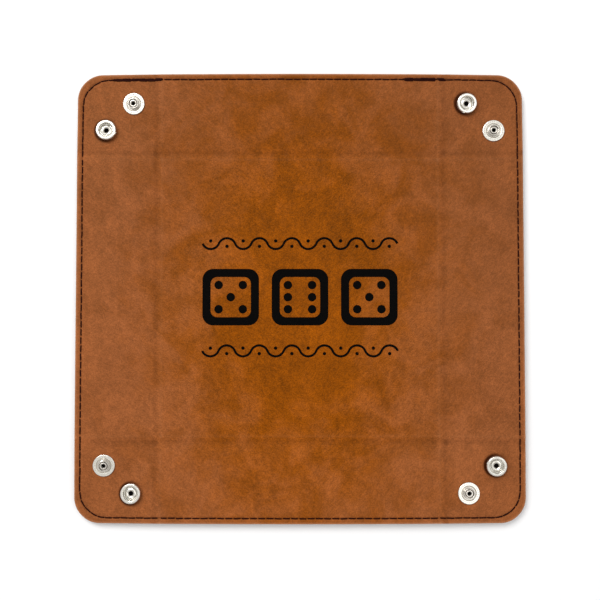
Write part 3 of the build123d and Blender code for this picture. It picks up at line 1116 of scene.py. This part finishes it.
def base_cloud(cloud):
    """The quarter's points turned round all four sides."""
    east = cloud[(cloud[:, 0] > np.abs(cloud[:, 1]) - 1e-6) & (cloud[:, 0] < CREASE)]
    points = {}
    for k in range(4):
        for point in east:
            x, y = turned_xy(tuple(point), k)
            points.setdefault((round(x, 2), round(y, 2)), (x, y))
    return np.array(list(points.values()))


def build_leather():
    cloud = inside_points()
    marks = engraving_loops()
    nodes = ("face_base", "lining_base", "board_base")
    sheet_piece("leather_base", base_part(), base_outline(), base_cloud(cloud), nodes, marks)
    near_hole = [circle_loop(SNAP_FAR, SNAP_NEAR, SNAP_HOLE_R)]
    far_hole = [circle_loop(SNAP_NEAR, SNAP_FAR, SNAP_HOLE_R)]
    wall_line = wall_outline()
    near_line = near_outline()
    far_line = far_outline()
    for k in range(4):
        side = SIDES[k]
        near = f"ear_{CORNERS[k]}_{side}"
        far = f"ear_{CORNERS[k]}_{SIDES[(k + 1) % 4]}"
        nodes = (f"face_wall_{side}", f"lining_wall_{side}", f"board_wall_{side}")
        sheet_piece(f"leather_wall_{side}", wall_part(k), wall_line, cloud, nodes)
        nodes = (f"face_{near}", f"lining_{near}")
        sheet_piece(f"leather_{near}", near_part(k), near_line, cloud, nodes, near_hole)
        nodes = (f"face_{far}", f"lining_{far}")
        sheet_piece(f"leather_{far}", far_part(k), far_line, cloud, nodes, far_hole)


def squared(value, power):
    """A sine or cosine pushed outwards, so that a round section becomes a rounded square one."""
    return math.copysign(abs(value) ** power, value)


def build_webs():
    """The leather gathered at the foot of each pleat, which shows only when the walls are up."""
    sides = 12
    swells = ((0.0, 0.9), (0.25, 1.0), (0.5, 1.0), (0.75, 1.0), (0.92, 0.94), (1.0, 0.8))
    faces = ring_faces(len(swells), sides)
    for k in range(4):
        points = []
        for along, swell in swells:
            s = WEB_START + along * (WEB_END - WEB_START)
            for angle in np.linspace(0, 2 * math.pi, sides, endpoint=False) + math.pi / sides:
                w = WEB_HALF * swell * squared(math.cos(angle), 0.4)
                rise = 0.5 + 0.5 * swell * squared(math.sin(angle), 0.5)
                xy = turned_xy(((s - w) / math.sqrt(2), (s + w) / math.sqrt(2)), k)
                points.append((*xy, WEB_BOTTOM + rise * (WEB_TOP - WEB_BOTTOM)))
        name = f"web_{CORNERS[k]}"
        slots = [FACE] * len(faces)
        web = finish_mesh(name, base_part(), np.array(points), faces, slots, [], SHEET_MATERIALS)


def build_seams():
    near_start = WALL_STITCHES
    far_start = WALL_STITCHES + NEAR_STITCHES
    for k in range(4):
        side = SIDES[k]
        next_side = SIDES[(k + 1) % 4]
        holes = [turned_xy(hole, k) for hole in HOLES]
        wall_holes = holes[: near_start + 1]
        wall_holes[0] = between(*wall_holes[:2], RIDGE_GAP)
        near_holes = holes[near_start : far_start + 1]
        near_holes[0] = between(*near_holes[:2], RIDGE_GAP)
        far_holes = holes[far_start:]
        far_holes[-1] = between(*far_holes[:-3:-1], RIDGE_GAP)
        wall_parts = stitches(wall_holes, STITCH_GAPS[side], 3 * k)
        near_parts = stitches(near_holes, STITCH_GAPS[side] / 2, 3 * k + 1)
        far_parts = stitches(far_holes, STITCH_GAPS[next_side] / 2, 3 * k + 2)
        if side == "north":
            wall_parts += backtack(wall_holes[:5], 91) + loose_end(wall_holes[4], (-1, 0.7), 1.6, 5)
            near_parts += backtack(near_holes[:7], 93) + loose_end(near_holes[6], (-1, 0.5), 1.8, 6)
        if side == "east":
            far_parts += backtack(far_holes[-2:], 92)
        near = f"ear_{CORNERS[k]}_{side}"
        far = f"ear_{CORNERS[k]}_{next_side}"
        thread_piece(f"stitches_wall_{side}", wall_part(k), wall_parts, f"seam_wall_{side}")
        thread_piece(f"stitches_{near}", near_part(k), near_parts, f"seam_{near}")
        thread_piece(f"stitches_{far}", far_part(k), far_parts, f"seam_{far}")


def paint_snaps():
    for name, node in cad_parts.items():
        if name.startswith(("socket_", "cap_", "stud_")):
            node.data.materials.clear()
            node.data.materials.append(STUD_NICKEL if name.startswith("stud_") else SOCKET_NICKEL)


def add_light(name, place, size, power):
    data = bpy.data.lights.new(name, "AREA")
    data.size = size
    data.energy = power
    light = bpy.data.objects.new(name, data)
    light.location = place
    light.rotation_euler = (-Vector(place)).to_track_quat("-Z", "Y").to_euler()
    bpy.context.scene.collection.objects.link(light)


def build_studio():
    floor_mesh = bpy.data.meshes.new("floor")
    half = FLOOR_HALF
    corners = [(x, y, FLOOR_Z) for x, y in ((-half, -half), (half, -half), (half, half), (-half, half))]
    floor_mesh.from_pydata(corners, [], [(0, 1, 2, 3)])
    floor = bpy.data.objects.new("floor", floor_mesh)
    bpy.context.scene.collection.objects.link(floor)
    paint = Nodes("floor_paint")
    paint.set(Base_Color=(0.9, 0.9, 0.9, 1.0), Roughness=0.9)
    floor_mesh.materials.append(paint.material)
    add_light("key", (-0.55, 0.75, 1.15), 0.7, 14.0)
    add_light("fill", (0.7, 0.1, 1.3), 0.9, 3.0)
    world = bpy.data.worlds.new("studio")
    world.use_nodes = True
    tree = world.node_tree
    place = tree.nodes.new("ShaderNodeTexCoord")
    height = tree.nodes.new("ShaderNodeSeparateXYZ")
    ramp = tree.nodes.new("ShaderNodeMapRange")
    for key, value in (("From Min", 0.1), ("From Max", 0.95), ("To Min", 0.5), ("To Max", 1.1)):
        ramp.inputs[key].default_value = value
    tree.links.new(place.outputs["Generated"], height.inputs[0])
    tree.links.new(height.outputs["Z"], ramp.inputs["Value"])
    tree.links.new(ramp.outputs[0], tree.nodes["Background"].inputs["Color"])
    tree.nodes["Background"].inputs["Strength"].default_value = 0.72
    bpy.context.scene.world = world
    bpy.context.scene.view_settings.view_transform = "Standard"


def build_camera():
    data = bpy.data.cameras.new("camera")
    data.sensor_width = SENSOR_WIDTH
    data.lens = SENSOR_WIDTH * CAMERA_DISTANCE / VIEW_WIDTH
    camera = bpy.data.objects.new("camera", data)
    away = Vector((0, -math.sin(CAMERA_TILT), math.cos(CAMERA_TILT)))
    camera.location = Vector(CAMERA_TARGET) + away * CAMERA_DISTANCE
    camera.rotation_euler = (CAMERA_TILT, 0, 0)
    bpy.context.scene.collection.objects.link(camera)
    bpy.context.scene.camera = camera


build_camera()
build_studio()
build_leather()
build_webs()
build_seams()
paint_snaps()
